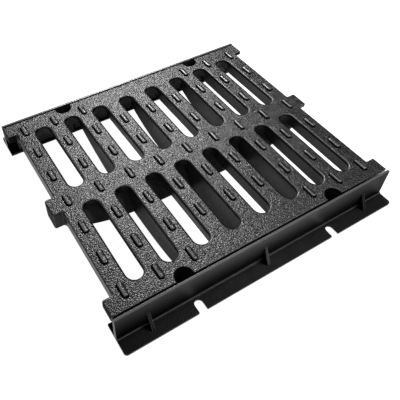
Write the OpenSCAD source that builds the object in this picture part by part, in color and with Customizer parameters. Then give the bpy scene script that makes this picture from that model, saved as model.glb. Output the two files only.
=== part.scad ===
// Cast iron slotted grating for a drainage channel, resting in two cast frame rails.
// Millimetres. X runs along the channel, Y across it, Z up.
// The origin is under the middle of the set, on the plane that the rails stand on.

/* [Grating] */
// Length of the grating along the channel
grating_length = 500; // [450:1:560]
// Width of the grating across the channel
grating_width = 400; // [380:1:460]
// Depth of the grating at its two bearing edges
grating_depth = 50; // [45:0.5:60]
// Thickness of the slotted top plate
plate_thickness = 20; // [14:0.5:24]
// How much each outer side face leans in from top to underside
side_lean = 0.5; // [0:0.5:4]

/* [Slots] */
// Number of slots in each row
slots_per_row = 8; // [6:2:8]
// Width of the solid bar between a side edge and the slot nearest to it
end_bar = 26.375; // [20:0.125:34]
// Width of a slot at the walking surface
slot_width = 33; // [24:0.5:34]
// Width of the solid band between the two rows of slots
centre_band = 29; // [24:1:40]
// Width of the solid band at each bearing edge
edge_band = 27.5; // [22:0.5:40]
// Width of the sloped rim around each slot
slot_rim = 3.6; // [1:0.1:4.5]
// How much each slot wall runs out again from the rim to the plate's underside
slot_flare = 4.4; // [1:0.1:5]

/* [Tabs on the side edges] */
// How far the tabs stand out past the side edges
tab_reach = 15.5; // [8:0.5:20]
// Length of each corner tab along the side edge
corner_tab_length = 27; // [20:0.5:40]
// Thickness of the left corner tabs
corner_tab_thickness = 14.5; // [10:0.5:20]
// Length of the middle tab along the side edge
middle_tab_length = 32; // [24:0.5:48]
// Depth of the left middle tab
middle_tab_depth = 35; // [24:0.5:40]
// Thickness of the three right tabs
right_tab_thickness = 5.5; // [4:0.5:20]
// Radius of the upright tab corners
tab_corner = 3; // [1:0.5:5]

/* [Underside ribs] */
// Thickness of a deep rib
rib_thickness = 28; // [16:0.5:28]
// Gap between the deep ribs and the floor at the middle of the span
rib_floor_gap = 3; // [1:0.5:10]
// Height of the outer deep ribs' front ends over the seat
rib_end_rise = 13; // [1:0.5:20]
// Height of the middle deep rib's front end over the seat
middle_rib_end_rise = 1; // [0.5:0.5:12]
// Depth towards which the outer deep ribs run out at the back edge
rib_back_depth = 5; // [4.5:0.5:20]
// Depth towards which the middle deep rib runs out at the back edge
middle_rib_back_depth = 12; // [5:0.5:20]
// Bend of the ribs' lower edges in front, straight at 1 and rounder above
rib_front_bend = 4; // [1:0.5:5]
// Bend of the outer ribs' lower edges behind
rib_back_bend = 1.05; // [1:0.05:2.5]
// Bend of the middle rib's lower edge behind
middle_rib_back_bend = 1.3; // [1:0.05:2.5]
// Depth of the wedge-shaped bars between the deep ribs
bar_depth = 36; // [24:0.5:36]
// Depth of the keels under the two side strips
side_bar_depth = 30; // [22:0.5:34]
// How much the outer face of a side keel leans in towards its foot
side_keel_lean = 1; // [0:0.5:3]
// Thickness of the two upright bearing beams
beam_thickness = 14; // [10:0.5:20]
// Width of the cross beam's foot, under the middle band
cross_foot = 82; // [60:1:90]
// Gap between the cross beam and the floor at the middle of its length
cross_floor_gap = 5; // [1:0.5:12]
// Height of the cross beam's lower edge over the floor at the side edges
cross_end_height = 24; // [14:0.5:28]
// Bend of the cross beam's lower edge
cross_bend = 4; // [1.5:0.5:5]
// Thickness of the cross beam's two sloped walls
cross_wall = 9; // [6:0.5:11]

/* [Grip studs] */
// Length of a raised grip stud
stud_length = 25; // [16:0.5:30]
// Width of a grip stud at its foot
stud_width = 9; // [6:0.5:12]
// Width of a grip stud at its top
stud_top = 4.4; // [2:0.2:6]
// Height of a grip stud over the plate
stud_height = 3; // [1.5:0.25:4]
// Distance of the outermost studs from the side edge, along a row
stud_inset = 15.5; // [10:0.5:20]
// Distance of the first stud row from the middle line
stud_row_one = 57; // [46:1:64]
// Distance of the second stud row from the middle line
stud_row_two = 116; // [100:1:130]
// Distance of the outermost stud row from the middle line
stud_row_three = 173.5; // [168:0.5:178]

/* [Lifting notches] */
// Distance of each lifting notch from the middle of the length
notch_offset = 137.25; // [120:0.25:150]
// Width of a lifting notch
notch_width = 27; // [20:0.5:32]
// Depth of a lifting notch
notch_depth = 17; // [14:0.5:19]

/* [Frame rails] */
// How far each rail runs past the grating at each end
rail_overrun = 0; // [0:0.5:20]
// Thickness of the rail's upright wall at its top
wall_thickness = 4.5; // [3.5:0.1:8]
// How much thicker the wall is at its foot
wall_flare = 3; // [0:0.5:4]
// Gap between the grating's edge and the rail's wall
rail_gap = 2.5; // [1.5:0.1:4]
// Thickness of the rail's base flange
flange_thickness = 5; // [4:0.1:8]
// How far the seat flange reaches in from the wall
seat_reach = 18.5; // [17:0.5:26]
// How far the anchor flange reaches out from the wall
anchor_reach = 27.5; // [24:0.5:36]
// Radius of the fillets at the foot of the wall
foot_fillet = 3; // [1:0.5:4]
// Radius of the anchor flange's outer corners
flange_corner = 5; // [2:0.5:8]

/* [Rail anchors] */
// Distance of each anchor notch from the middle of the rail
anchor_offset = 125; // [80:1:150]
// Width of an anchor notch
anchor_width = 13.5; // [10:0.5:18]
// Depth of an anchor notch from the flange's edge
anchor_depth = 19; // [12:0.5:20]
// Distance of each outer gusset from the middle of the rail
gusset_offset = 200; // [170:1:230]
// Thickness of a gusset
gusset_thickness = 5; // [3:0.5:8]
// Height of a gusset's top over the rail's foot
gusset_top = 33; // [20:0.5:42]
// How far a gusset reaches out from the wall
gusset_reach = 17.5; // [12:0.5:20]

/* [Hidden] */
$fn = 48;
joint = 0.2;
rail_height = flange_thickness + grating_depth;
plate_bottom = rail_height - plate_thickness;
half_width = grating_width / 2;
side_x = grating_length / 2 - tab_reach;
slot_inner = centre_band / 2;
slot_outer = half_width - edge_band;
rim_radius = slot_width / 2;
neck_radius = rim_radius - slot_rim;
base_radius = neck_radius + slot_flare;
rim_z = rail_height - slot_rim;
slot_start = slot_inner + rim_radius;
slot_stop = slot_outer - rim_radius;
slot_pitch = (2 * side_x - 2 * end_bar - slot_width) / (slots_per_row - 1);
first_slot = -(slots_per_row - 1) / 2 * slot_pitch;
first_bar = first_slot - slot_pitch / 2;
flare_rate = slot_flare / (rim_z - plate_bottom);
bar_half = slot_pitch / 2 - base_radius;
bar_foot_half = bar_half - flare_rate * (bar_depth - plate_thickness);
keel_inner = side_x - end_bar - rim_radius + base_radius;
rib_foot = half_width - beam_thickness;
rib_top = rim_z - joint;
cross_head = slot_start - base_radius;
stud_rows = [-stud_row_three, -stud_row_two, -stud_row_one, 0, stud_row_one, stud_row_two, stud_row_three];
rail_length = grating_length + 2 * rail_overrun;
wall_inner = half_width + rail_gap;
wall_outer = wall_inner + wall_thickness;
seat_edge = wall_inner - seat_reach;
anchor_edge = wall_outer + anchor_reach;
notch_base = notch_depth - notch_width / 2;
steps = 16;

// Middle of a bar, counted from the left side edge: its place along the channel
function bar_x(i) =
    i == 0 ? stud_inset - side_x
    : i == slots_per_row ? side_x - stud_inset
    : first_bar + i * slot_pitch;

// Lower edge of a deep rib: height at a distance y across the channel
function rib_z(y, front_rise, back_depth, back_bend) =
    rib_floor_gap
    + ((y > 0 ? rail_height - back_depth : flange_thickness + front_rise) - rib_floor_gap)
    * pow(abs(y) / rib_foot, y > 0 ? back_bend : rib_front_bend);

// Lower edge of the cross beam: height at a distance x along the channel
function cross_z(x) =
    cross_floor_gap + (cross_end_height - cross_floor_gap) * pow(abs(x) / side_x, cross_bend);

// Straight-sided block with a leaning long side: wide at the bottom or the top, along Y
module tapered_bar(bottom_half, top_half, height, y_from, y_to) {
    translate([0, y_to, 0])
        rotate([90, 0, 0])
            linear_extrude(height = y_to - y_from)
                polygon([
                    [-bottom_half, 0],
                    [bottom_half, 0],
                    [top_half, height],
                    [-top_half, height]
                ]);
}

// Round-ended tool with leaning sides: a bar between two cones, along Y
module tapered_capsule(bottom_r, top_r, height, y_from, y_to) {
    tapered_bar(bottom_r, top_r, height, y_from, y_to);
    for (y = [y_from, y_to])
        translate([0, y, 0])
            cylinder(r1 = bottom_r, r2 = top_r, h = height);
}

// Everything that one slot takes away, from under the plate to its rim
module slot_cut(x, side) {
    y_from = side > 0 ? slot_start : -slot_stop;
    y_to = side > 0 ? slot_stop : -slot_start;
    translate([x, 0, plate_bottom])
        tapered_capsule(base_radius, neck_radius, rim_z - plate_bottom, y_from, y_to);
    translate([x, 0, rim_z])
        tapered_capsule(neck_radius, rim_radius, slot_rim, y_from, y_to);
}

// Raised grip stud, long across the channel
module grip_stud(x, y) {
    reach = (stud_length - stud_width) / 2;
    translate([x, y, rail_height])
        tapered_capsule(stud_width / 2, stud_top / 2, stud_height, -reach, reach);
}

// Flat tab on a side edge with two rounded upright corners
module side_tab(side, y_from, y_to, thickness) {
    inner = side_x - 3;
    outer = side_x + tab_reach;
    mirror([side < 0 ? 1 : 0, 0, 0])
        translate([0, 0, rail_height - thickness]) {
            translate([inner, y_from, 0])
                cube([outer - tab_corner - inner, y_to - y_from, thickness]);
            translate([inner, y_from + tab_corner, 0])
                cube([outer - inner, y_to - y_from - 2 * tab_corner, thickness]);
            for (y = [y_from + tab_corner, y_to - tab_corner])
                translate([outer - tab_corner, y, 0])
                    cylinder(r = tab_corner, h = thickness);
        }
}

// Top plate without its openings
module plate_blank() {
    translate([0, 0, plate_bottom])
        tapered_bar(side_x - side_lean, side_x, plate_thickness, -half_width, half_width);
    for (side = [-1, 1]) {
        corner = side < 0 ? corner_tab_thickness : right_tab_thickness;
        middle = side < 0 ? middle_tab_depth : right_tab_thickness;
        side_tab(side, half_width - corner_tab_length, half_width, corner);
        side_tab(side, -half_width, corner_tab_length - half_width, corner);
        side_tab(side, -middle_tab_length / 2, middle_tab_length / 2, middle);
    }
}

// Deep rib under one bar, its lower edge curved along the span
module deep_rib(x, front_rise, back_depth, back_bend) {
    points = [for (i = [0 : 2 * steps])
        let (y = rib_foot * (i / steps - 1))
        [y, rib_z(y, front_rise, back_depth, back_bend)]
    ];
    translate([x - rib_thickness / 2, 0, 0])
        rotate([90, 0, 90])
            linear_extrude(height = rib_thickness)
                polygon(concat(points, [[rib_foot, rib_top], [-rib_foot, rib_top]]));
}

// Wedge under one bar between the deep ribs, in line with the slot walls beside it
module bar_keel(x) {
    translate([x, 0, rail_height - bar_depth])
        tapered_bar(bar_foot_half, bar_half + flare_rate * joint,
            bar_depth - plate_thickness + joint, -rib_foot, rib_foot);
}

// Keel under a side strip: its inner face in line with the slot wall
module side_keel(side) {
    drop = side_bar_depth - plate_thickness;
    outer = side_x - side_lean;
    mirror([side < 0 ? 1 : 0, 0, 0])
        translate([0, rib_foot, rail_height - side_bar_depth])
            rotate([90, 0, 0])
                linear_extrude(height = 2 * rib_foot)
                    polygon([
                        [keel_inner + flare_rate * drop, 0],
                        [outer - side_keel_lean, 0],
                        [outer, drop],
                        [outer, drop + joint],
                        [keel_inner - flare_rate * joint, drop + joint]
                    ]);
}

// Cross beam under the middle band: two sloped walls, open below
module cross_beam() {
    top = plate_bottom + joint;
    low = cross_floor_gap;
    foot = cross_foot / 2;
    slope = (foot - cross_head) / (plate_bottom - low);
    outline = [
        [foot, low],
        [cross_head - slope * joint, top],
        [-cross_head + slope * joint, top],
        [-foot, low],
        [cross_wall - foot, low],
        [cross_wall - cross_head, plate_bottom - joint],
        [cross_head - cross_wall, plate_bottom - joint],
        [foot - cross_wall, low]
    ];
    arch = [for (i = [0 : 2 * steps])
        let (x = side_x * (i / steps - 1))
        [x, cross_z(x)]
    ];
    intersection() {
        translate([-side_x + side_lean, 0, 0])
            rotate([90, 0, 90])
                linear_extrude(height = 2 * (side_x - side_lean))
                    polygon(outline);
        translate([0, foot + 1, 0])
            rotate([90, 0, 0])
                linear_extrude(height = 2 * foot + 2)
                    polygon(concat(arch, [[side_x, top + 1], [-side_x, top + 1]]));
    }
}

// Round-bottomed lifting notch, open to the bearing edge
module lifting_notch(x, side) {
    mirror([0, side < 0 ? 1 : 0, 0])
        translate([x, half_width, flange_thickness - 1]) {
            translate([-notch_width / 2, -notch_base, 0])
                cube([notch_width, notch_base + 1, grating_depth + 2]);
            translate([0, -notch_base, 0])
                cylinder(d = notch_width, h = grating_depth + 2);
        }
}

// Plate and bearing beams with the slots taken out
module slotted_plate() {
    beam_x = side_x - side_lean;
    difference() {
        union() {
            plate_blank();
            for (side = [-1, 1])
                translate([-beam_x, side > 0 ? rib_foot : -half_width, flange_thickness])
                    cube([2 * beam_x, beam_thickness, plate_bottom - flange_thickness + joint]);
        }
        for (i = [0 : slots_per_row - 1], side = [-1, 1])
            slot_cut(first_slot + i * slot_pitch, side);
    }
}

module grating() {
    middle = slots_per_row / 2;
    color("dimgray")
        difference() {
            union() {
                slotted_plate();
                for (i = [2 : 2 : slots_per_row - 2])
                    if (i == middle)
                        deep_rib(bar_x(i), middle_rib_end_rise, middle_rib_back_depth, middle_rib_back_bend);
                    else
                        deep_rib(bar_x(i), rib_end_rise, rib_back_depth, rib_back_bend);
                for (i = [1 : 2 : slots_per_row - 1])
                    bar_keel(bar_x(i));
                for (side = [-1, 1])
                    side_keel(side);
                cross_beam();
                for (i = [0 : slots_per_row], y = stud_rows)
                    if (abs(y) < stud_row_three || abs(i - middle) > 1)
                        grip_stud(bar_x(i), y);
            }
            for (x = [-notch_offset, notch_offset], side = [-1, 1])
                lifting_notch(x, side);
        }
}

// Upright section of a rail, wall on the positive side, from the wall's foot outwards
module rail_section() {
    foot_out = wall_outer + wall_flare;
    bend = [for (a = [270 : -15 : 180])
        [foot_out + foot_fillet + foot_fillet * cos(a), flange_thickness + foot_fillet + foot_fillet * sin(a)]
    ];
    polygon(concat(
        [
            [seat_edge, 0],
            [anchor_edge, 0],
            [anchor_edge, flange_thickness]
        ],
        bend,
        [
            [wall_outer, rail_height],
            [wall_inner, rail_height],
            [wall_inner, flange_thickness],
            [seat_edge, flange_thickness]
        ]
    ));
}

// Sloped gusset between the wall and the anchor flange
module gusset(x) {
    translate([x - gusset_thickness / 2, 0, 0])
        rotate([90, 0, 90])
            linear_extrude(height = gusset_thickness)
                polygon([
                    [wall_outer - 1, flange_thickness - 1],
                    [wall_outer + gusset_reach, flange_thickness - 1],
                    [wall_outer + gusset_reach, flange_thickness + 1],
                    [wall_outer + 1, gusset_top],
                    [wall_outer - 1, gusset_top]
                ]);
}

// What rounds one outer corner of the anchor flange
module corner_cut(side) {
    mirror([side < 0 ? 1 : 0, 0, 0])
        translate([rail_length / 2 - flange_corner, anchor_edge - flange_corner, -1])
            difference() {
                cube([flange_corner + 1, flange_corner + 1, flange_thickness + 2]);
                cylinder(r = flange_corner, h = flange_thickness + 2);
            }
}

// Open anchor notch with a round end, in the outer edge of the anchor flange
module anchor_notch(x) {
    depth = anchor_depth - anchor_width / 2;
    translate([x, anchor_edge, -1]) {
        translate([-anchor_width / 2, -depth, 0])
            cube([anchor_width, depth + 1, flange_thickness + 2]);
        translate([0, -depth, 0])
            cylinder(d = anchor_width, h = flange_thickness + 2);
    }
}

// One frame rail, its wall on the +Y side
module frame_rail() {
    difference() {
        union() {
            translate([-rail_length / 2, 0, 0])
                rotate([90, 0, 90])
                    linear_extrude(height = rail_length)
                        rail_section();
            for (x = [-gusset_offset, 0, gusset_offset])
                gusset(x);
        }
        for (x = [-anchor_offset, anchor_offset])
            anchor_notch(x);
        for (side = [-1, 1])
            corner_cut(side);
    }
}

module front_rail() {
    color("#2b2b2b")
        rotate([0, 0, 180])
            frame_rail();
}

module back_rail() {
    color("#2b2b2b")
        frame_rail();
}

grating();
front_rail();
back_rail();
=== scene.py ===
import bpy
import bmesh
import math
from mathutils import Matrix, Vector
from mathutils.geometry import tessellate_polygon
from mathutils.kdtree import KDTree


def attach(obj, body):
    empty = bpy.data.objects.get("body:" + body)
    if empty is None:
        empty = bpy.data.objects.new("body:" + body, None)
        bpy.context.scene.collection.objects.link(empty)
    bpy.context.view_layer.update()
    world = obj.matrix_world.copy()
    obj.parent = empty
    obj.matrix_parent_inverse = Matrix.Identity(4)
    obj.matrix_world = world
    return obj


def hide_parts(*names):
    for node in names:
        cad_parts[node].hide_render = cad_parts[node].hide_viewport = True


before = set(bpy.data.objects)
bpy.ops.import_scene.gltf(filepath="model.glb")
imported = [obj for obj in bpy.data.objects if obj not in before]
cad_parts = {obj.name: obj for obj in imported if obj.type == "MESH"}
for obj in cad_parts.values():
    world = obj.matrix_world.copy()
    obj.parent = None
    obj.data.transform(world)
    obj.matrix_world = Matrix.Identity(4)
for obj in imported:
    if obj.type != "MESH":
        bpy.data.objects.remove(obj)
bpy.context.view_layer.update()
print("frame loaded:", ", ".join(sorted(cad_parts)))

mm = 0.001
hair = 1e-7             # metres that count as nothing
samePoint = 1e-6        # two corners closer than this are one
weldGap = 2e-6          # mesh points closer than this are joined
sharpestMitre = 0.35    # keeps the offset of a sharp corner short
midStop = 0.3           # where a rounded end has its middle stop, in shares of the rounding


# small mesh helpers

def clamp(value):
    return max(0.0, min(1.0, value))


def arcPoints(centre, radius, fromDeg, toDeg, count):
    # points on an arc, both ends included
    found = []
    for i in range(count + 1):
        a = math.radians(fromDeg + (toDeg - fromDeg) * i / count)
        found.append((centre[0] + radius * math.cos(a), centre[1] + radius * math.sin(a)))
    return found


def roundCorners(corners, steps=4):
    # corners are (x, y, radius); a radius of 0 keeps the corner sharp
    out = []
    n = len(corners)
    for i, (x, y, r) in enumerate(corners):
        here = Vector((x, y))
        if r <= 0:
            out.append((x, y))
            continue
        back = (Vector(corners[i - 1][:2]) - here).normalized()
        ahead = (Vector(corners[(i + 1) % n][:2]) - here).normalized()
        half = math.acos(max(-1, min(1, back.dot(ahead)))) / 2
        reach = r / math.tan(half)
        mid = here + (back + ahead).normalized() * (r / math.sin(half))
        first = here + back * reach - mid
        last = here + ahead * reach - mid
        turn = first.angle_signed(last)
        for k in range(steps + 1):
            a = -turn * k / steps
            c, s = math.cos(a), math.sin(a)
            out.append((mid.x + first.x * c - first.y * s, mid.y + first.x * s + first.y * c))
    return out


def outwardNormals(points):
    # mitred normals of a counter-clockwise outline; doubled points share one
    flat = [Vector(p[:2]) for p in points]
    n = len(flat)

    def wayTo(i, step):
        # direction to the next point, or the one before, that lies elsewhere
        for k in range(1, n):
            gap = flat[(i + step * k) % n] - flat[i]
            if gap.length > samePoint:
                return gap.normalized()

    out = []
    for i in range(n):
        a, b = -wayTo(i, -1), wayTo(i, 1)
        na, nb = Vector((a.y, -a.x)), Vector((b.y, -b.x))
        m = (na + nb).normalized()
        out.append(m / max(sharpestMitre, m.dot(na)))
    return out


def stackRings(bm, rings, flip=False):
    # joins rings of equal length with quads; rings run counter-clockwise, lowest first
    made = [[bm.verts.new(p) for p in ring] for ring in rings]
    for low, high in zip(made, made[1:]):
        for i in range(len(low)):
            j = (i + 1) % len(low)
            quad = (low[i], low[j], high[j], high[i])
            bm.faces.new(tuple(reversed(quad)) if flip else quad)
    return made


def capFlat(bm, outer, holes=(), up=True):
    # fills a flat outline, with holes, between points that are there already
    loops = [outer] + list(holes)
    verts = [v for loop in loops for v in loop]
    want = up if isinstance(up, Vector) else Vector((0, 0, 1 if up else -1))
    for tri in tessellate_polygon([[v.co for v in loop] for loop in loops]):
        a, b, c = (verts[i] for i in tri)
        if len({a, b, c}) < 3:
            continue
        if (b.co - a.co).cross(c.co - a.co).dot(want) < 0:
            b, c = c, b
        try:
            bm.faces.new((a, b, c))
        except ValueError:              # the triangle is there already
            pass


def closeEnds(bm, made):
    # fills the first and the last ring of a run
    for loop, other in ((made[0], made[1]), (made[-1], made[-2])):
        capFlat(bm, loop, (), loop[0].co - other[0].co)


def closeTopAndBottom(bm, made):
    capFlat(bm, made[0], (), False)
    capFlat(bm, made[-1], (), True)


def roundedRun(low, high, r, between=()):
    # stops along a run, each with how far the section is drawn in there
    start = [(low, r), (low + r * midStop, r * midStop), (low + r, 0)]
    end = [(high - r, 0), (high - r * midStop, r * midStop), (high, r)]
    return start + [(x, 0) for x in between] + end


def runSection(bm, loop, stops, shift=0.0):
    # carries a (y, z) section along X
    normals = outwardNormals(loop)
    rings = []
    for x, k in stops:
        rings.append([Vector((shift + x, y - n.x * k, z - n.y * k))
                      for (y, z), n in zip(loop, normals)])
    closeEnds(bm, stackRings(bm, rings))


def finishMesh(name, bm, paint, sharpDeg=38, weld=weldGap):
    # closes up doubled points, drops what has no area and makes the piece
    bmesh.ops.remove_doubles(bm, verts=bm.verts, dist=weld)
    bmesh.ops.dissolve_degenerate(bm, dist=hair, edges=bm.edges)
    bmesh.ops.recalc_face_normals(bm, faces=bm.faces)
    loose = sum(1 for e in bm.edges if not e.is_manifold)
    mesh = bpy.data.meshes.new(name)
    bm.to_mesh(mesh)
    bm.free()
    for poly in mesh.polygons:
        poly.use_smooth = True
    mesh.set_sharp_from_angle(angle=math.radians(sharpDeg))
    mesh.materials.append(paint)
    piece = bpy.data.objects.new(name, mesh)
    bpy.context.scene.collection.objects.link(piece)
    evenShade = piece.modifiers.new("even shading", "WEIGHTED_NORMAL")
    evenShade.keep_sharp = True
    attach(piece, "root")
    print("  made", name, len(mesh.polygons), "faces,", loose, "open edges")
    return piece


# marks on the coat, read by the finishes below: wear with painted highlights, and painted shade

def markCoat(piece, name, rule):
    # the wear mark is 1 where the coat is rubbed smooth and painted pale as a highlight; the shade
    # mark is 1 where painted shade makes it dark and dull
    mesh = piece.data
    mark = mesh.attributes.new(name, "FLOAT", "POINT")
    for v in mesh.vertices:
        mark.data[v.index].value = clamp(rule(v.co, v.normal))


# shader nodes that the finishes and the floor share

def feed(tree, socket, value):
    # takes another node's output, or a plain number or colour
    if isinstance(value, bpy.types.NodeSocket):
        tree.links.new(value, socket)
    else:
        socket.default_value = value


def mathNode(tree, operation, first, second, kept=False):
    node = tree.nodes.new("ShaderNodeMath")
    node.operation = operation
    node.use_clamp = kept               # keeps the result between 0 and 1
    feed(tree, node.inputs[0], first)
    feed(tree, node.inputs[1], second)
    return node.outputs[0]


def mixNode(tree, share, first, second, kind="RGBA"):
    # goes from the first to the second as the share goes from 0 to 1
    node = tree.nodes.new("ShaderNodeMix")
    node.data_type = kind
    a, b, result = (6, 7, 2) if kind == "RGBA" else (2, 3, 0)
    feed(tree, node.inputs[0], share)
    feed(tree, node.inputs[a], first)
    feed(tree, node.inputs[b], second)
    return node.outputs[result]


def spreadNode(tree, value, low, high, fromLow=0.0, fromHigh=1.0):
    node = tree.nodes.new("ShaderNodeMapRange")
    node.inputs["From Min"].default_value = fromLow
    node.inputs["From Max"].default_value = fromHigh
    node.inputs["To Min"].default_value = low
    node.inputs["To Max"].default_value = high
    tree.links.new(value, node.inputs["Value"])
    return node.outputs["Result"]


# cast iron finishes

castSkin = {            # what both finishes share
    "noiseRough": 0.55, "driftDetail": 3, "grainDetail": 2, "patchDetail": 4, "reliefDetail": 0,
    "driftSpan": (0.32, 0.70), "dustSpan": (0.45, 0.75), "patchSpan": (0.3, 0.7),
    "patchSwing": (-0.05, 0.06),        # how far the gloss wanders from patch to patch
    "deepFade": 1.5 * mm,               # from the upper colour to the one below the plate
    # shine and added roughness where the painted shade is
    "openShine": 0.5, "shadeShine": 0.06, "shadeRough": 0.35,
}


def paintedIron(name, look, skin):
    # satin black coat over a sand-cast skin, with painted highlights and painted shade from the
    # marks
    mat = bpy.data.materials.new(name)
    mat.use_nodes = True
    tree = mat.node_tree
    nodes, links = tree.nodes, tree.links
    shader = nodes["Principled BSDF"]
    shader.inputs["IOR"].default_value = look["ior"]
    place = nodes.new("ShaderNodeTexCoord").outputs["Object"]

    def noiseAt(scale, detail):
        tex = nodes.new("ShaderNodeTexNoise")
        tex.inputs["Scale"].default_value = scale
        tex.inputs["Detail"].default_value = detail
        tex.inputs["Roughness"].default_value = skin["noiseRough"]
        links.new(place, tex.inputs["Vector"])
        return tex.outputs["Fac"]

    def markNamed(attribute):
        node = nodes.new("ShaderNodeAttribute")
        node.attribute_name = attribute
        return node.outputs["Fac"]

    wearAndPaintedLight, paintedShade = markNamed("wearAndPaintedLight"), markNamed("paintedShade")
    height = nodes.new("ShaderNodeSeparateXYZ")
    links.new(place, height.inputs[0])
    deep = spreadNode(tree, height.outputs["Z"], 1.0, 0.0,
                      look["deepFrom"] - skin["deepFade"], look["deepFrom"])

    # colour: a slowly drifting coat, dust in its grain, the colour below the plate, worn edges
    # painted pale as highlights, painted shade last
    ramp = nodes.new("ShaderNodeValToRGB")
    for stop, spot, colour in zip(ramp.color_ramp.elements, skin["driftSpan"],
                                  (look["deepColour"], look["paleColour"])):
        stop.position, stop.color = spot, colour
    links.new(noiseAt(look["driftScale"], skin["driftDetail"]), ramp.inputs["Fac"])
    grain = noiseAt(look["grainScale"], skin["grainDetail"])
    dust = spreadNode(tree, grain, 0.0, look["dust"], *skin["dustSpan"])
    colour = mixNode(tree, dust, ramp.outputs["Color"], look["dustColour"])
    colour = mixNode(tree, deep, colour, look["belowColour"])
    # painted highlight: pale colour where the wear mark is, on rubbed edges, stud ridges, rail
    # fillets and the cross beam
    colour = mixNode(tree, spreadNode(tree, wearAndPaintedLight, 0.0, look["wearAndLightShare"]), colour, look["wearAndLightColour"])
    # painted shade: the darkest coat colour where the shade mark is
    colour = mixNode(tree, paintedShade, colour, look["deepColour"])
    links.new(colour, shader.inputs["Base Color"])

    # gloss: satin and patchy, smoother where worn, dull where painted shade is
    low, high = (look["glossRough"] + swing for swing in skin["patchSwing"])
    patches = noiseAt(look["patchScale"], skin["patchDetail"])
    patchy = spreadNode(tree, patches, low, high, *skin["patchSpan"])
    rough = mathNode(tree, "MULTIPLY", patchy, spreadNode(tree, wearAndPaintedLight, 1.0, look["wornGloss"]))
    dulled = spreadNode(tree, paintedShade, 0.0, skin["shadeRough"])
    rough = mathNode(tree, "ADD", rough, dulled, kept=True)
    links.new(rough, shader.inputs["Roughness"])
    # painted shade also takes most of the shine away
    links.new(spreadNode(tree, paintedShade, skin["openShine"], skin["shadeShine"]),
              shader.inputs["Specular IOR Level"])

    # relief: orange peel of the coat over the sand grain
    relief = mathNode(tree, "MULTIPLY", spreadNode(tree, wearAndPaintedLight, 1.0, look["wornRelief"]),
                      spreadNode(tree, deep, 1.0, look["deepRelief"]))
    layers = ((look["peelScale"], look["peelDepth"]), (look["sandScale"], look["sandDepth"]))
    normal = None
    for scale, depth in layers:
        bump = nodes.new("ShaderNodeBump")
        bump.inputs["Distance"].default_value = depth
        links.new(relief, bump.inputs["Strength"])
        links.new(noiseAt(scale, skin["reliefDetail"]), bump.inputs["Height"])
        if normal:
            links.new(normal, bump.inputs["Normal"])
        normal = bump.outputs["Normal"]
    links.new(normal, shader.inputs["Normal"])
    return mat


# the pale wear colour also paints highlights, and the darkest colour also paints shade
gratingFinish = {
    "deepColour": (0.008, 0.008, 0.0085, 1), "paleColour": (0.020, 0.020, 0.021, 1),
    "dustColour": (0.060, 0.060, 0.062, 1), "wearAndLightColour": (0.400, 0.400, 0.402, 1),
    "belowColour": (0.080, 0.080, 0.081, 1), "deepFrom": 50.5 * mm, "deepRelief": 0.35,
    "dust": 0.35, "wearAndLightShare": 0.9, "ior": 1.55, "glossRough": 0.24,
    "wornGloss": 0.75, "wornRelief": 0.10,
    "driftScale": 9.0, "grainScale": 420.0, "patchScale": 60.0,
    "peelScale": 560.0, "peelDepth": 0.6 * mm, "sandScale": 900.0, "sandDepth": 0.2 * mm,
}
railFinish = {
    "deepColour": (0.006, 0.006, 0.0065, 1), "paleColour": (0.014, 0.014, 0.015, 1),
    "dustColour": (0.040, 0.040, 0.041, 1), "wearAndLightColour": (0.500, 0.500, 0.503, 1),
    "belowColour": (0.006, 0.006, 0.0065, 1), "deepFrom": -10 * mm, "deepRelief": 1.0,
    "dust": 0.25, "wearAndLightShare": 0.8, "ior": 1.5, "glossRough": 0.24,
    "wornGloss": 0.9, "wornRelief": 0.3,
    "driftScale": 7.0, "grainScale": 300.0, "patchScale": 40.0,
    "peelScale": 420.0, "peelDepth": 0.22 * mm, "sandScale": 900.0, "sandDepth": 0.1 * mm,
}
gratingPaint = paintedIron("castGratingPaint", gratingFinish, castSkin)
railPaint = paintedIron("castRailPaint", railFinish, castSkin)
print("finishes ready")


# slotted plate with its tabs

plateSizes = {
    "halfLength": 234.5 * mm, "halfWidth": 200 * mm, "top": 55 * mm, "under": 35 * mm,
    "lean": 0.5 * mm,                   # side faces lean in by this much at the underside
    "edgeRound": 1.2 * mm, "sideRound": 2.6 * mm,   # top edges at the bearings and at the sides
    "tabReach": 15.5 * mm, "tipRound": 3 * mm, "rootRound": 1.6 * mm, "lowRound": 1.2 * mm,
    "nearRightTip": 1.3 * mm, "seam": 0.05 * mm,    # seam: how far tabs tuck into the plate
    "cornerTab": 27 * mm, "cornerTabUnder": 40.5 * mm,
    "middleTab": 16 * mm, "middleTabUnder": 20 * mm, "rightTabUnder": 47.5 * mm,
    "notchPlace": 137.25 * mm, "notchHalf": 13.5 * mm, "notchDepth": 17 * mm, "notchLip": 1.5 * mm,
    "perRow": 8, "pitch": 54.75 * mm, "slotInner": 14.5 * mm, "slotOuter": 172.5 * mm,
    "slotHalf": 16.5 * mm, "throat": 12.9 * mm,     # half widths at the top and at the narrowest
    "rimWide": 3.5 * mm, "rimDeep": 2.6 * mm,       # a slot's rounded rim, across and downwards
    "wideSwing": 0.5 * mm, "deepSwing": 1.4 * mm,   # more on the right of a slot, less on its left
    "flare": 0.268,                                 # how fast a slot widens again below its rim
    "wallStops": (5 * mm, 8 * mm, 14 * mm),         # rings of a slot wall, down from the top
    "endSteps": 16, "notchSteps": 14,               # faces round a slot's end and round a notch
}


def slotRadius(p, depth):
    # half width of a slot at a depth under its rim
    return p["throat"] + p["flare"] * max(0.0, depth - p["rimDeep"] - p["deepSwing"])


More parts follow.
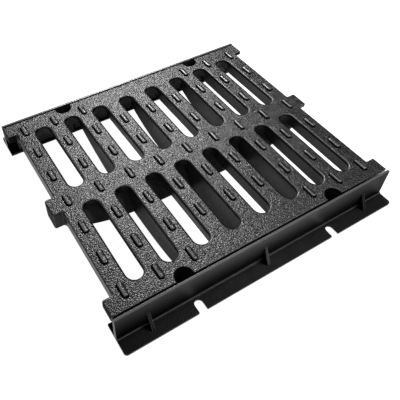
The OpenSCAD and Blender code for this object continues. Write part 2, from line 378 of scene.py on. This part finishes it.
def slotRing(p, cx, y0, y1, turn, drop=0.0):
    # one ring of a slot wall: at an angle round the rim, or at a drop under the walking face
    ring = []
    rest = math.radians(turn)
    for y, start in ((y1, 0), (y0, 180)):
        for k in range(p["endSteps"] + 1):
            a = math.radians(start + 180 * k / p["endSteps"])
            toward = math.cos(a)        # 1 on the right of the slot, -1 on its left
            if drop:
                r, depth = slotRadius(p, drop), drop
            else:
                r = p["throat"] + (p["rimWide"] + p["wideSwing"] * toward) * (1 - math.sin(rest))
                depth = (p["rimDeep"] + p["deepSwing"] * toward) * (1 - math.cos(rest))
            ring.append(Vector((cx + r * toward, y + r * math.sin(a), p["top"] - depth)))
    return ring


def plateOutline(p):
    # counter-clockwise from the near left corner tab, each point with what it belongs to
    plateX, tabX, edgeY = p["halfLength"], p["halfLength"] + p["tabReach"], p["halfWidth"]
    cornerY, middleY = edgeY - p["cornerTab"], p["middleTab"]
    tip, root = p["tipRound"], p["rootRound"]
    notchX, notchY = p["notchPlace"], edgeY - p["notchDepth"] + p["notchHalf"]

    def notchCorners(side, order):
        # side is 1 on the near edge and -1 on the far one
        found = []
        start = 180 if side > 0 else 0
        for x in order:
            found.append((x - side * p["notchHalf"], side * -edgeY, p["notchLip"]))
            for q in arcPoints((x, -side * notchY), p["notchHalf"],
                               start, start - 180, p["notchSteps"]):
                found.append((q[0], q[1], 0))
            found.append((x + side * p["notchHalf"], side * -edgeY, p["notchLip"]))
        return found

    def tabCorners(side):
        # one end's steps between its two outer corners; side is 1 on the right and -1 on the left
        steps = [(tabX, -cornerY, tip), (plateX, -cornerY, root), (plateX, -middleY, root),
                 (tabX, -middleY, tip), (tabX, middleY, tip), (plateX, middleY, root),
                 (plateX, cornerY, root), (tabX, cornerY, tip)]
        return [(side * x, side * y, r) for x, y, r in steps]

    corners = [(-tabX, -edgeY, tip)] + notchCorners(1, (-notchX, notchX))
    corners += [(tabX, -edgeY, p["nearRightTip"])] + tabCorners(1) + [(tabX, edgeY, tip)]
    corners += notchCorners(-1, (notchX, -notchX)) + [(-tabX, edgeY, tip)] + tabCorners(-1)
    plain = roundCorners(corners)

    def kindOf(x, y):
        if abs(x) <= plateX + hair:
            return "edge"
        if x > 0:
            return "right"
        return "middle" if abs(y) < edgeY / 2 else "corner"

    # where a tab starts, its root point is doubled: one copy drops to the plate's underside
    out = []
    for i, (x, y) in enumerate(plain):
        nx, ny = plain[(i + 1) % len(plain)]
        here, nextKind = kindOf(x, y), kindOf(nx, ny)
        out.append((x, y, here))
        if here == nextKind:
            continue
        if abs(abs(x) - plateX) < hair or abs(abs(nx) - plateX) < hair:
            out.append((x, y, nextKind) if here == "edge" else (nx, ny, here))
        else:
            # the bearing edge crosses from a tab to the plate in one straight run
            side = math.copysign(plateX, x if abs(x) > abs(nx) else nx)
            out += [(side, y, here), (side, y, nextKind)]
    return out


def makePlate(p):
    bm = bmesh.new()
    marks = plateOutline(p)
    normals = outwardNormals(marks)
    plateX, top = p["halfLength"], p["top"]
    under = {"edge": p["under"], "corner": p["cornerTabUnder"], "middle": p["middleTabUnder"],
             "right": p["rightTabUnder"]}
    lowR = [p["seam"] if kind == "edge" else p["lowRound"] for x, y, kind in marks]
    edgeR = []
    for n in normals:
        across = (n.x / n.length) ** 2
        edgeR.append(p["edgeRound"] * (1 - across) + p["sideRound"] * across)

    def leanAt(x, kind, z):
        if kind == "edge" and abs(abs(x) - plateX) < samePoint:
            return -math.copysign(p["lean"] * (top - z) / (top - p["under"]), x)
        return 0.0

    def ringAt(inward, downward, rounds, baseOf):
        # one ring of the outline, moved in and down by shares of each point's own rounding
        ring = []
        for (x, y, kind), n, r in zip(marks, normals, rounds):
            z = baseOf(kind) + downward * r
            ring.append(Vector((x - n.x * inward * r + leanAt(x, kind, z),
                                y - n.y * inward * r, z)))
        return ring

    rings = []
    for a in (90, 70, 50, 30, 15, 0):                # rounded walking edge, top first
        s, c = math.sin(math.radians(a)), math.cos(math.radians(a))
        rings.append(ringAt(1 - c, s - 1, edgeR, lambda kind: top))
    for a in (0, 30, 60, 90):                        # rounded lower edge of the tabs
        s, c = math.sin(math.radians(a)), math.cos(math.radians(a))
        rings.append(ringAt(1 - c, 1 - s, lowR, lambda kind: under[kind]))
    inner = plateX - p["lean"] - p["seam"]
    tucked = []
    for v, (x, y, kind) in zip(rings[-1], marks):    # undersides of the tabs
        q = v.copy()
        if kind != "edge":
            q.x = math.copysign(min(abs(q.x), inner), q.x)
        tucked.append(q)
    rings.append(tucked)
    rings.append([Vector((v.x, v.y, p["under"])) for v in tucked])
    rings.reverse()
    made = stackRings(bm, rings)

    drops = (*p["wallStops"], top - p["under"])
    upper, lower = [], []
    for row in (-1, 1):
        for i in range(p["perRow"]):
            cx = (i - (p["perRow"] - 1) / 2) * p["pitch"]
            y0, y1 = sorted((row * p["slotInner"], row * p["slotOuter"]))
            middle = (y0 + p["slotHalf"], y1 - p["slotHalf"])
            wall = [slotRing(p, cx, *middle, turn) for turn in range(0, 91, 10)]
            wall += [slotRing(p, cx, *middle, 90, drop) for drop in drops]
            wall.reverse()
            loops = stackRings(bm, wall, flip=True)
            lower.append(loops[0])
            upper.append(loops[-1])

    # doubled points are joined first, so the flat faces share every point of the walls
    outlines = [[v.co.copy() for v in loop] for loop in [made[-1], made[0]] + upper + lower]
    bmesh.ops.remove_doubles(bm, verts=bm.verts, dist=weldGap)
    points = list(bm.verts)
    finder = KDTree(len(points))
    for i, v in enumerate(points):
        finder.insert(v.co, i)
    finder.balance()

    def welded(outline):
        # the joined points along an outline, each once
        out = []
        for co in outline:
            v = points[finder.find(co)[1]]
            if v not in out[-3:] and v not in out[:1]:
                out.append(v)
        return out

    loops = [welded(outline) for outline in outlines]
    lowerFrom = 2 + len(upper)
    capFlat(bm, loops[0], loops[2:lowerFrom], True)
    capFlat(bm, loops[1], loops[lowerFrom:], False)
    return finishMesh("slotted_plate", bm, gratingPaint)


plateMarks = {
    "wearAndHighlightDeep": 4 * mm, "wearAndHighlightMost": 0.4,            # rubbed edges painted pale as highlights: how far down, how strongly
    "tiltFrom": 6, "tiltRise": 8, "tiltUntil": 44, "tiltFall": 10,     # degrees away from level
    "facing": 0.6, "upright": 0.5,                  # least turn one way, most tilt if upright
    # painted shade on the tabs' faces and the slots' left rims
    "tabFront": 0.3, "backTabFront": 0.95, "backTabFrom": 100 * mm,
    "tabClear": 0.5 * mm, "slotClear": 4 * mm, "slotsEnd": 182 * mm,
    "rimFrom": 5 * mm, "rimUntil": 0.01 * mm, "rimFade": 0.10, "frontShare": 0.3,
}


def plateWearAndHighlight(co, normal):
    # upper part of the rounded edges, worn and painted pale as a highlight
    m = plateMarks
    if co.z <= plateSizes["top"] - m["wearAndHighlightDeep"]:
        return 0.0
    tilt = math.degrees(math.acos(max(-1.0, min(1.0, normal.z))))
    rise, fall = (tilt - m["tiltFrom"]) / m["tiltRise"], (m["tiltUntil"] - tilt) / m["tiltFall"]
    return m["wearAndHighlightMost"] * clamp(min(rise, fall))


def plateShade(co, normal):
    # painted shade: dark on the left faces of the tabs, on the tabs' faces towards the front, and
    # on the left rims of the slots
    m, p = plateMarks, plateSizes
    if abs(co.x) > p["halfLength"] + m["tabClear"]:
        if normal.y < -m["facing"] and abs(normal.z) < m["upright"]:
            return m["backTabFront"] if co.y > m["backTabFrom"] else m["tabFront"]
        return 1.0 if normal.x < -m["facing"] else 0.0
    inSlot = abs(co.x) < p["halfLength"] - m["slotClear"] and abs(co.y) < m["slotsEnd"]
    if inSlot and p["top"] - m["rimFrom"] < co.z < p["top"] - m["rimUntil"]:
        return (normal.x + m["frontShare"] * normal.y) / m["rimFade"]
    return 0.0


slottedPlate = makePlate(plateSizes)
markCoat(slottedPlate, "wearAndPaintedLight", plateWearAndHighlight)
markCoat(slottedPlate, "paintedShade", plateShade)
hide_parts("grating")
print("slotted plate done")


# bearing beams under the two long edges

beamSizes = {
    "inner": 186 * mm, "outer": 199.75 * mm, "halfLength": 233.9 * mm,
    "floor": 5 * mm, "top": 35.6 * mm,
    "round": 1.2 * mm, "leastRound": 0.15 * mm, "lowTuck": 0.9, "draft": 0.5 * mm,
    "cupWall": 3.5 * mm, "cupLap": 4,               # a notch's curved wall, and its lap in degrees
}


def roundedBlock(bm, b, x0, x1, y0, y1):
    # upright block with rounded corners and lower edges
    def ring(inset, z, shrink):
        k, r = inset + shrink, max(b["round"] - inset, b["leastRound"])
        box = [(x0 + k, y0 + k, r), (x1 - k, y0 + k, r), (x1 - k, y1 - k, r), (x0 + k, y1 - k, r)]
        return [Vector((x, y, z)) for x, y in roundCorners(box, 3)]

    rings = []
    for a in (90, 60, 30, 0):
        s, c = math.sin(math.radians(a)), math.cos(math.radians(a))
        z = b["floor"] + b["round"] * (1 - s)
        rings.append(ring(b["round"] * (1 - c) * b["lowTuck"], z, b["draft"]))
    rings.append(ring(0, b["top"], 0))
    closeTopAndBottom(bm, stackRings(bm, rings))


def makeBeams(b, p):
    bm = bmesh.new()
    notchX, notchR, lap = p["notchPlace"], p["notchHalf"], b["cupLap"]
    spans = [(-b["halfLength"], -notchX - notchR), (-notchX + notchR, notchX - notchR),
             (notchX + notchR, b["halfLength"])]
    for side in (-1, 1):
        y0, y1 = sorted((side * b["inner"], side * b["outer"]))
        for x0, x1 in spans:
            roundedBlock(bm, b, x0, x1, y0, y1)
        for x in (-notchX, notchX):
            mid = (x, side * (p["halfWidth"] - p["notchDepth"] + notchR))
            turn = 0 if side < 0 else 180
            inner = arcPoints(mid, notchR, turn - lap, turn + 180 + lap, 16)
            outer = arcPoints(mid, notchR + b["cupWall"], turn - lap, turn + 180 + lap, 16)
            cup = outer + inner[::-1]
            rings = [[Vector((q[0], q[1], z)) for q in cup] for z in (b["floor"], b["top"])]
            closeTopAndBottom(bm, stackRings(bm, rings))
    return finishMesh("bearing_beams", bm, gratingPaint)


makeBeams(beamSizes, plateSizes)


# deep ribs under every second inner bar

ribSizes = {
    "half": 14 * mm, "floor": 3 * mm, "foot": 186.5 * mm, "top": 50.2 * mm, "lip": 1.3 * mm,
    "frontBend": 4.0, "steps": 32,
    # (place in pitches from the middle, front end height, back end height, bend behind)
    "each": [(-2, 22 * mm, 50 * mm, 1.75), (0, 6 * mm, 43 * mm, 2.4), (2, 20 * mm, 43 * mm, 2.4)],
}


def makeRibs(r, p):
    bm = bmesh.new()
    for place, frontEnd, backEnd, backBend in r["each"]:
        cx = place * p["pitch"]
        sections = []
        for i in range(-r["steps"], r["steps"] + 1):
            along = i / r["steps"]                   # -1 at the front end, 1 at the back end
            end, bend = (backEnd, backBend) if i > 0 else (frontEnd, r["frontBend"])
            z = r["floor"] + (end - r["floor"]) * abs(along) ** bend
            if z > r["top"] - 2 * r["lip"]:
                break
            y = r["foot"] * i / r["steps"]
            corners = [(-r["half"], z, r["lip"]), (r["half"], z, r["lip"]),
                       (r["half"], r["top"], 0), (-r["half"], r["top"], 0)]
            sections.append([Vector((cx + x, y, h)) for x, h in roundCorners(corners)])
        closeEnds(bm, stackRings(bm, sections))
    return finishMesh("deep_ribs", bm, gratingPaint)


makeRibs(ribSizes, plateSizes)


# keels: wedge-shaped bars between the deep ribs, and the lower part of the two side strips

keelSizes = {
    "low": 19 * mm, "sideLow": 25 * mm, "reach": 186.5 * mm,
    "tipRound": 1.8 * mm, "outerRound": 2.4 * mm,
    "outerLean": 1.0 * mm, "tuck": 0.5 * mm,        # tuck: how far a head stays inside the plate
    "places": (-3, -1, 1, 3),                       # in pitches from the middle
}


def makeKeels(k, p):
    bm = bmesh.new()
    under, tuck = p["under"], k["tuck"]
    headTop = under + 2 * tuck

    def wallAt(z):
        return slotRadius(p, p["top"] - z)

    sections = []
    for place in k["places"]:
        cx = place * p["pitch"]
        head, tip = p["pitch"] / 2 - wallAt(under), p["pitch"] / 2 - wallAt(k["low"])
        sections.append([(cx - tip, k["low"], k["tipRound"]), (cx + tip, k["low"], k["tipRound"]),
                         (cx + head, under, 0), (cx + head - tuck, headTop, 0),
                         (cx - head + tuck, headTop, 0), (cx - head, under, 0)])
    lastSlot = (p["perRow"] - 1) / 2 * p["pitch"]
    outer = p["halfLength"] - p["lean"]
    strip = [(lastSlot + wallAt(k["sideLow"]), k["sideLow"], k["tipRound"]),
             (outer - k["outerLean"], k["sideLow"], k["outerRound"]), (outer, under, 0),
             (outer - tuck, headTop, 0), (lastSlot + wallAt(under) + tuck, headTop, 0),
             (lastSlot + wallAt(under), under, 0)]
    sections.append([(-x, z, r) for x, z, r in reversed(strip)])
    sections.append(strip)
    for section in sections:
        loop = roundCorners(section)
        rings = [[Vector((x, y, z)) for x, z in loop] for y in (-k["reach"], 0, k["reach"])]
        closeEnds(bm, stackRings(bm, rings))
    return finishMesh("bar_keels", bm, gratingPaint)


makeKeels(keelSizes, plateSizes)


# cross beam under the middle band

crossSizes = {
    "foot": 41 * mm, "head": 13.7 * mm, "low": 5 * mm, "endLow": 24 * mm, "top": 35.3 * mm,
    "half": 233.6 * mm, "wall": 9 * mm, "lip": 1.8 * mm, "headTuck": 0.3 * mm,
    "bend": 4, "steps": 36,
    # rounded lower edge of a wall, outside then inside: (mm inwards, share of the slope, lips up)
    "outside": [(0, 1.6, 1.6), (0.15, 0.7, 0.7), (0.9, 0, 0.12), (2.2, 0, 0)],
    "inside": [(-2.2, 0, 0), (-0.4, 0, 0.3), (0, 0.8, 0.9)],
    "roof": [(-2.2 * mm, 32.4 * mm), (-0.4 * mm, 33.4 * mm)],   # rounded roof of the hollow
    # the whole beam painted paler: painted light on its faces under the plate
    "wearAndPaintedLight": 0.5,
}


def makeCrossBeam(c, p):
    bm = bmesh.new()
    slope = (c["foot"] - c["head"]) / (p["under"] - c["low"])
    rings = []
    for i in range(-c["steps"], c["steps"] + 1):
        x = c["half"] * i / c["steps"]
        z = c["low"] + (c["endLow"] - c["low"]) * abs(i / c["steps"]) ** c["bend"]
        face = c["head"] + slope * (p["under"] - z)  # outer face at this height
        half = [(c["head"] - slope * c["headTuck"], c["top"])]
        for start, edge in ((face, c["outside"]), (face - c["wall"], c["inside"])):
            half += [(start - slope * c["lip"] * share - inward * mm, z + c["lip"] * up)
                     for inward, share, up in edge]
        half += [(c["head"] - c["wall"] - inward, h) for inward, h in c["roof"]]
        otherHalf = [Vector((x, -y, h)) for y, h in reversed(half)]
        rings.append([Vector((x, y, h)) for y, h in half] + otherHalf)
    closeEnds(bm, stackRings(bm, rings))
    return finishMesh("cross_beam", bm, gratingPaint)


# painted light: the cross beam paled all over
markCoat(makeCrossBeam(crossSizes, plateSizes), "wearAndPaintedLight", lambda co, normal: crossSizes["wearAndPaintedLight"])
print("underside done")


# grip studs

studSizes = {
    "rows": [y * mm for y in (-173.5, -116, -57, 0, 57, 116, 173.5)], "insetFromEdge": 15.5 * mm,
    "reach": 8 * mm, "z": 55 * mm, "endSteps": 8,   # reach: from the middle to an end's centre
    # stud flank from the foot up, in mm: (half width, height)
    "flank": [(5.9, -0.25), (5.6, 0.03), (5.0, 0.14), (4.65, 0.45), (4.35, 1.0),
              (4.0, 1.6), (3.5, 2.05), (2.9, 2.4), (2.2, 2.66), (1.6, 2.82),
              (1.0, 2.94), (0.5, 2.99), (0.2, 3.0)],
}
# painted highlight along the ridge, painted shade on the flanks and round the foot
studMarks = {
    "ridgeFrom": 2.2 * mm, "wearAndHighlightMost": 0.7, "highlightSpan": (0.03, 0.42), "highlightFade": (0.05, 0.10),
    "footUntil": 1.2 * mm, "footFrom": 0.05, "footFade": 0.05, "flankFrom": 0.40, "flankFade": 0.12,
}


def studPlaces(s, p):
    half = p["perRow"] // 2
    for i in range(-half, half + 1):
        x = i * p["pitch"]
        if abs(i) == half:
            x = math.copysign(p["halfLength"] - s["insetFromEdge"], i)
        for y in s["rows"]:
            if abs(y) < max(s["rows"]) or abs(i) > 1:
                yield x, y


def capsule(cx, y0, y1, r, z, steps):
    # counter-clockwise ring with round ends along Y
    ring = arcPoints((cx, y1 - r), r, 0, 180, steps) + arcPoints((cx, y0 + r), r, 180, 360, steps)
    return [Vector((x, y, z)) for x, y in ring]


def makeStuds(s, p):
    bm = bmesh.new()
    for x, y in studPlaces(s, p):
        rings = []
        for w, h in s["flank"]:
            long = s["reach"] + w * mm
            rings.append(capsule(x, y - long, y + long, w * mm, s["z"] + h * mm, s["endSteps"]))
        closeTopAndBottom(bm, stackRings(bm, rings))
    return finishMesh("grip_studs", bm, gratingPaint, sharpDeg=60)


def studRidgeHighlight(co, normal):
    # painted highlight: a pale line along the left and near side of the ridge
    m = studMarks
    q = max(-normal.x, -normal.y)
    if co.z <= studSizes["z"] + m["ridgeFrom"]:
        return 0.0
    low, high = m["highlightSpan"]
    return min(m["wearAndHighlightMost"], (q - low) / m["highlightFade"][0], (high - q) / m["highlightFade"][1])


def studShade(co, normal):
    # painted shade: dark flanks, on the left and at the near tip down to the foot
    m = studMarks
    q = max(-normal.x, -normal.y)
    if co.z < studSizes["z"] + m["footUntil"]:
        return (q - m["footFrom"]) / m["footFade"]
    return (q - m["flankFrom"]) / m["flankFade"]


gripStuds = makeStuds(studSizes, plateSizes)
markCoat(gripStuds, "wearAndPaintedLight", studRidgeHighlight)
markCoat(gripStuds, "paintedShade", studShade)
print("grip studs done")


# frame rails

railSizes = {
    "half": 250 * mm, "seatEdge": 184 * mm, "outerEdge": 234.5 * mm, "flange": 5 * mm,
    "flangeRound": 0.9 * mm, "cornerRound": 5 * mm, "seatCorner": 1.5 * mm,
    "footRound": [(0.6, 0.0), (0.15, 0.3), (0, 0.8)],   # flange's lower edge, in flange rounds
    "wallIn": 202.5 * mm, "wallOut": 207 * mm, "wallFoot": 210 * mm, "wallTop": 55 * mm,
    "wallSink": 0.5 * mm, "fillet": 3 * mm, "seatFillet": 1.4 * mm,
    "wallRound": 0.9 * mm, "endRound": 0.8 * mm,
    "wallStops": [x * mm for x in (-180, -120, -60, 0, 60, 120, 180)],
    "anchorPlace": 125 * mm, "anchorHalf": 6.75 * mm, "anchorDepth": 19 * mm, "anchorLip": 1.5 * mm,
    "gussets": [-200 * mm, 0.0, 200 * mm], "gussetHalf": 2.5 * mm, "gussetTop": 33 * mm,
    "gussetReach": 17.5 * mm, "gussetRound": 0.8 * mm,
    "gussetSink": 1 * mm, "gussetBed": 0.6 * mm,        # how deep in the wall and in the flange
    "gussetHead": 1 * mm, "gussetHeadRound": 1.2 * mm, "gussetHeadRise": 0.4 * mm,
    "gussetToe": 1.2 * mm, "gussetToeRound": 1.0 * mm, "gussetToeRun": 0.8 * mm,
}


def flangeOutline(r):
    # seen from above with the seat towards -Y, counter-clockwise
    end, a = r["half"], r["anchorHalf"]
    corners = [(-end, r["seatEdge"], r["seatCorner"]), (end, r["seatEdge"], r["seatCorner"]),
               (end, r["outerEdge"], r["cornerRound"])]
    for x in (r["anchorPlace"], -r["anchorPlace"]):
        corners.append((x + a, r["outerEdge"], r["anchorLip"]))
        for q in arcPoints((x, r["outerEdge"] - r["anchorDepth"] + a), a, 0, -180, 12):
            corners.append((q[0], q[1], 0))
        corners.append((x - a, r["outerEdge"], r["anchorLip"]))
    corners.append((-end, r["outerEdge"], r["cornerRound"]))
    return roundCorners(corners, 5)


def wallSection(r):
    # rounded head, fillets at the foot
    f, s, top = r["fillet"], r["seatFillet"], r["wallTop"]
    foot = r["flange"] - r["wallSink"]
    section = [(r["wallIn"] - s, foot, 0), (r["wallFoot"] + f, foot, 0)]
    for q in arcPoints((r["wallFoot"] + f, r["flange"] + f), f, 270, 183, 6):
        section.append((q[0], q[1], 0))
    section += [(r["wallOut"], top, r["wallRound"]), (r["wallIn"], top, r["wallRound"])]
    for q in arcPoints((r["wallIn"] - s, r["flange"] + s), s, 0, -90, 4):
        section.append((q[0], q[1], 0))
    return roundCorners(section)


def gussetSection(r):
    wall, bed = r["wallOut"], r["flange"] - r["gussetBed"]
    toe = wall + r["gussetReach"]
    return roundCorners([
        (wall - r["gussetSink"], bed, 0), (toe + r["gussetToeRun"], bed, 0),
        (toe, r["flange"] + r["gussetToe"], r["gussetToeRound"]),
        (wall + r["gussetHead"], r["gussetTop"], r["gussetHeadRound"]),
        (wall - r["gussetSink"], r["gussetTop"] + r["gussetHeadRise"], 0)])


def makeRail(name, r, turned):
    bm = bmesh.new()
    # flange: plan outline stacked with rounded upper and lower edges
    plan = flangeOutline(r)
    normals = outwardNormals(plan)
    b = r["flangeRound"]
    levels = [(b * inward, b * up) for inward, up in r["footRound"]]
    for a in (0, 30, 60, 90):
        s, c = math.sin(math.radians(a)), math.cos(math.radians(a))
        levels.append((b * (1 - c), r["flange"] - b + b * s))
    rings = [[Vector((x - n.x * k, y - n.y * k, z)) for (x, y), n in zip(plan, normals)]
             for k, z in levels]
    closeTopAndBottom(bm, stackRings(bm, rings))

    runSection(bm, wallSection(r), roundedRun(-r["half"], r["half"], r["endRound"], r["wallStops"]))
    gussetStops = roundedRun(-r["gussetHalf"], r["gussetHalf"], r["gussetRound"])
    for cx in r["gussets"]:
        runSection(bm, gussetSection(r), gussetStops, cx)
    if turned:
        for v in bm.verts:
            v.co.x, v.co.y = -v.co.x, -v.co.y
    return finishMesh(name, bm, railPaint, weld=samePoint)


railMarks = {
    "footLine": (0.3 * mm, 2.2 * mm),               # painted highlight: pale line above the flange, at the wall's foot
    "gussetClear": 1.5 * mm, "gussetFrom": 9 * mm, "gussetSide": 0.8, "gussetTilt": 0.2,
    "headWearAndHighlight": 0.4, "headDeep": 2 * mm,
    "level": 0.9, "upright": 0.8, "flangeTop": 0.6, "flangeClear": 0.2 * mm, "headClear": 0.5 * mm,
    # painted shade on the flange top and the wall's faces
    "lowUntil": 20 * mm, "far": 200 * mm,           # the wall's lower part; where a gain is full
    "lowShade": 0.6, "lowGain": 0.35, "highShade": 0.15, "highGain": 0.4, "leftGain": 0.25,
}


def railWearAndHighlight(co, normal):
    # painted highlight, with wear on the wall head: pale on the wall head, gusset edges and the
    # corner where wall and flange meet
    m, r = railMarks, railSizes
    low, high = (r["flange"] + h for h in m["footLine"])
    if low < co.z < high and abs(co.y) > r["wallOut"]:
        return 1.0
    besideWall = co.z < r["gussetTop"] and abs(co.y) > r["wallOut"] + m["gussetClear"]
    if besideWall and abs(normal.x) < m["gussetSide"]:
        return 1.0 if normal.z > m["gussetTilt"] and co.z > m["gussetFrom"] else 0.0
    return m["headWearAndHighlight"] if co.z > r["wallTop"] - m["headDeep"] else 0.0


def railShade(co, normal):
    # painted shade: flange top, and the wall's faces, most towards their ends and foot
    m, r = railMarks, railSizes
    if normal.z > m["level"] and co.z < r["flange"] + m["flangeClear"]:
        return m["flangeTop"]
    if abs(normal.y) > m["upright"] and r["flange"] < co.z < r["wallTop"] - m["headClear"]:
        out = abs(co.x) / m["far"]
        if co.z < m["lowUntil"]:
            return m["lowShade"] + m["lowGain"] * out
        side = -1 if co.y > 0 else 1
        left = max(0.0, co.x * side) / m["far"]
        return m["highShade"] + m["highGain"] * out + left * m["leftGain"]
    return 0.0


frontRail = makeRail("rail_front", railSizes, True)
backRail = makeRail("rail_back", railSizes, False)
for rail in (frontRail, backRail):
    markCoat(rail, "wearAndPaintedLight", railWearAndHighlight)
    markCoat(rail, "paintedShade", railShade)
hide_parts("front_rail")
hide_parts("back_rail")
print("rails done")


# floor, light and camera

studio = {
    "floorSize": 14.0, "floorDrop": 0.2 * mm, "floorColour": (0.6, 0.6, 0.6, 1), "floorRough": 0.9,
    "floorShine": 0.1, "worldGrey": 0.05, "worldSeen": 1.0,
    "floorGlow": 0.98, "mirroredGlow": 0.80,
    "shadeReach": 0.20, "shadePower": 1.1, "shadeSamples": 8,
    # name, azimuth from +Y towards +X, elevation, distance, width, height, watts
    "softboxes": [("far_softbox", 25, 45, 2.6, 0.75, 0.8, 41.0),
                  ("overhead_softbox", 95, 66, 2.4, 0.8, 0.8, 12.0)],
}


def paperPaint(s):
    # pale paper that glows white to the camera, and less where the iron mirrors it, with a painted
    # shadow where the object stands over it
    mat = bpy.data.materials.new("paperFloor")
    mat.use_nodes = True
    tree = mat.node_tree
    nodes, links = tree.nodes, tree.links
    shader = nodes["Principled BSDF"]
    shader.inputs["Base Color"].default_value = s["floorColour"]
    shader.inputs["Roughness"].default_value = s["floorRough"]
    shader.inputs["Specular IOR Level"].default_value = s["floorShine"]
    path = nodes.new("ShaderNodeLightPath").outputs
    seen = mathNode(tree, "MAXIMUM", path["Is Camera Ray"], path["Is Glossy Ray"])
    seen = mathNode(tree, "MAXIMUM", seen, path["Is Transmission Ray"])
    # what the iron mirrors of the floor is dimmed where the object stands over it: a painted shadow
    # from occlusion
    near = nodes.new("ShaderNodeAmbientOcclusion")
    near.inputs["Distance"].default_value = s["shadeReach"]
    near.samples = s["shadeSamples"]
    dimmed = mathNode(tree, "POWER", near.outputs["AO"], s["shadePower"])
    dimmed = mathNode(tree, "MULTIPLY", dimmed, s["mirroredGlow"])
    glow = nodes.new("ShaderNodeEmission")
    strength = mixNode(tree, path["Is Camera Ray"], dimmed, s["floorGlow"], "FLOAT")
    links.new(strength, glow.inputs["Strength"])
    both = nodes.new("ShaderNodeAddShader")
    links.new(shader.outputs["BSDF"], both.inputs[0])
    links.new(glow.outputs["Emission"], both.inputs[1])
    mix = nodes.new("ShaderNodeMixShader")
    links.new(seen, mix.inputs["Fac"])
    links.new(shader.outputs["BSDF"], mix.inputs[1])
    links.new(both.outputs["Shader"], mix.inputs[2])
    links.new(mix.outputs["Shader"], nodes["Material Output"].inputs["Surface"])
    return mat


def makeFloor(s):
    mesh = bpy.data.meshes.new("studio_floor")
    k, z = s["floorSize"] / 2, -s["floorDrop"]
    mesh.from_pydata([(-k, -k, z), (k, -k, z), (k, k, z), (-k, k, z)], [], [(0, 1, 2, 3)])
    mesh.materials.append(paperPaint(s))
    floor = bpy.data.objects.new("studio_floor", mesh)
    bpy.context.scene.collection.objects.link(floor)


def makeLights(s):
    for name, azimuth, elevation, distance, width, height, watts in s["softboxes"]:
        lamp = bpy.data.lights.new(name, "AREA")
        lamp.shape = "RECTANGLE"
        lamp.size, lamp.size_y = width, height
        lamp.energy = watts
        box = bpy.data.objects.new(name, lamp)
        a, e = math.radians(azimuth), math.radians(elevation)
        way = Vector((math.sin(a) * math.cos(e), math.cos(a) * math.cos(e), math.sin(e)))
        box.location = distance * way
        box.rotation_euler = (-way).to_track_quat("-Z", "Y").to_euler()
        bpy.context.scene.collection.objects.link(box)


def makeRoom(s):
    # the camera sees a white room, the iron only a faint grey one
    world = bpy.data.worlds.new("studioRoom")
    world.use_nodes = True
    tree = world.node_tree
    back = tree.nodes["Background"]
    back.inputs["Color"].default_value = (1, 1, 1, 1)
    path = tree.nodes.new("ShaderNodeLightPath")
    level = spreadNode(tree, path.outputs["Is Camera Ray"], s["worldGrey"], s["worldSeen"])
    tree.links.new(level, back.inputs["Strength"])
    bpy.context.scene.world = world


cameraView = {"place": (-0.34328, -0.43224, 0.61161), "turnDeg": (39.823, 0.080, -30.297),
              "sensor": 36, "lens": 41.972, "shift": (0.1511, -0.0357)}


def makeCamera(c):
    data = bpy.data.cameras.new("photo_camera")
    data.sensor_width = data.sensor_height = c["sensor"]
    data.lens = c["lens"]
    data.shift_x, data.shift_y = c["shift"]
    cam = bpy.data.objects.new("photo_camera", data)
    cam.location = c["place"]
    cam.rotation_euler = [math.radians(a) for a in c["turnDeg"]]
    bpy.context.scene.collection.objects.link(cam)
    bpy.context.scene.camera = cam


makeFloor(studio)
makeLights(studio)
makeRoom(studio)
makeCamera(cameraView)
bpy.context.scene.view_settings.view_transform = "Standard"
print("studio ready")
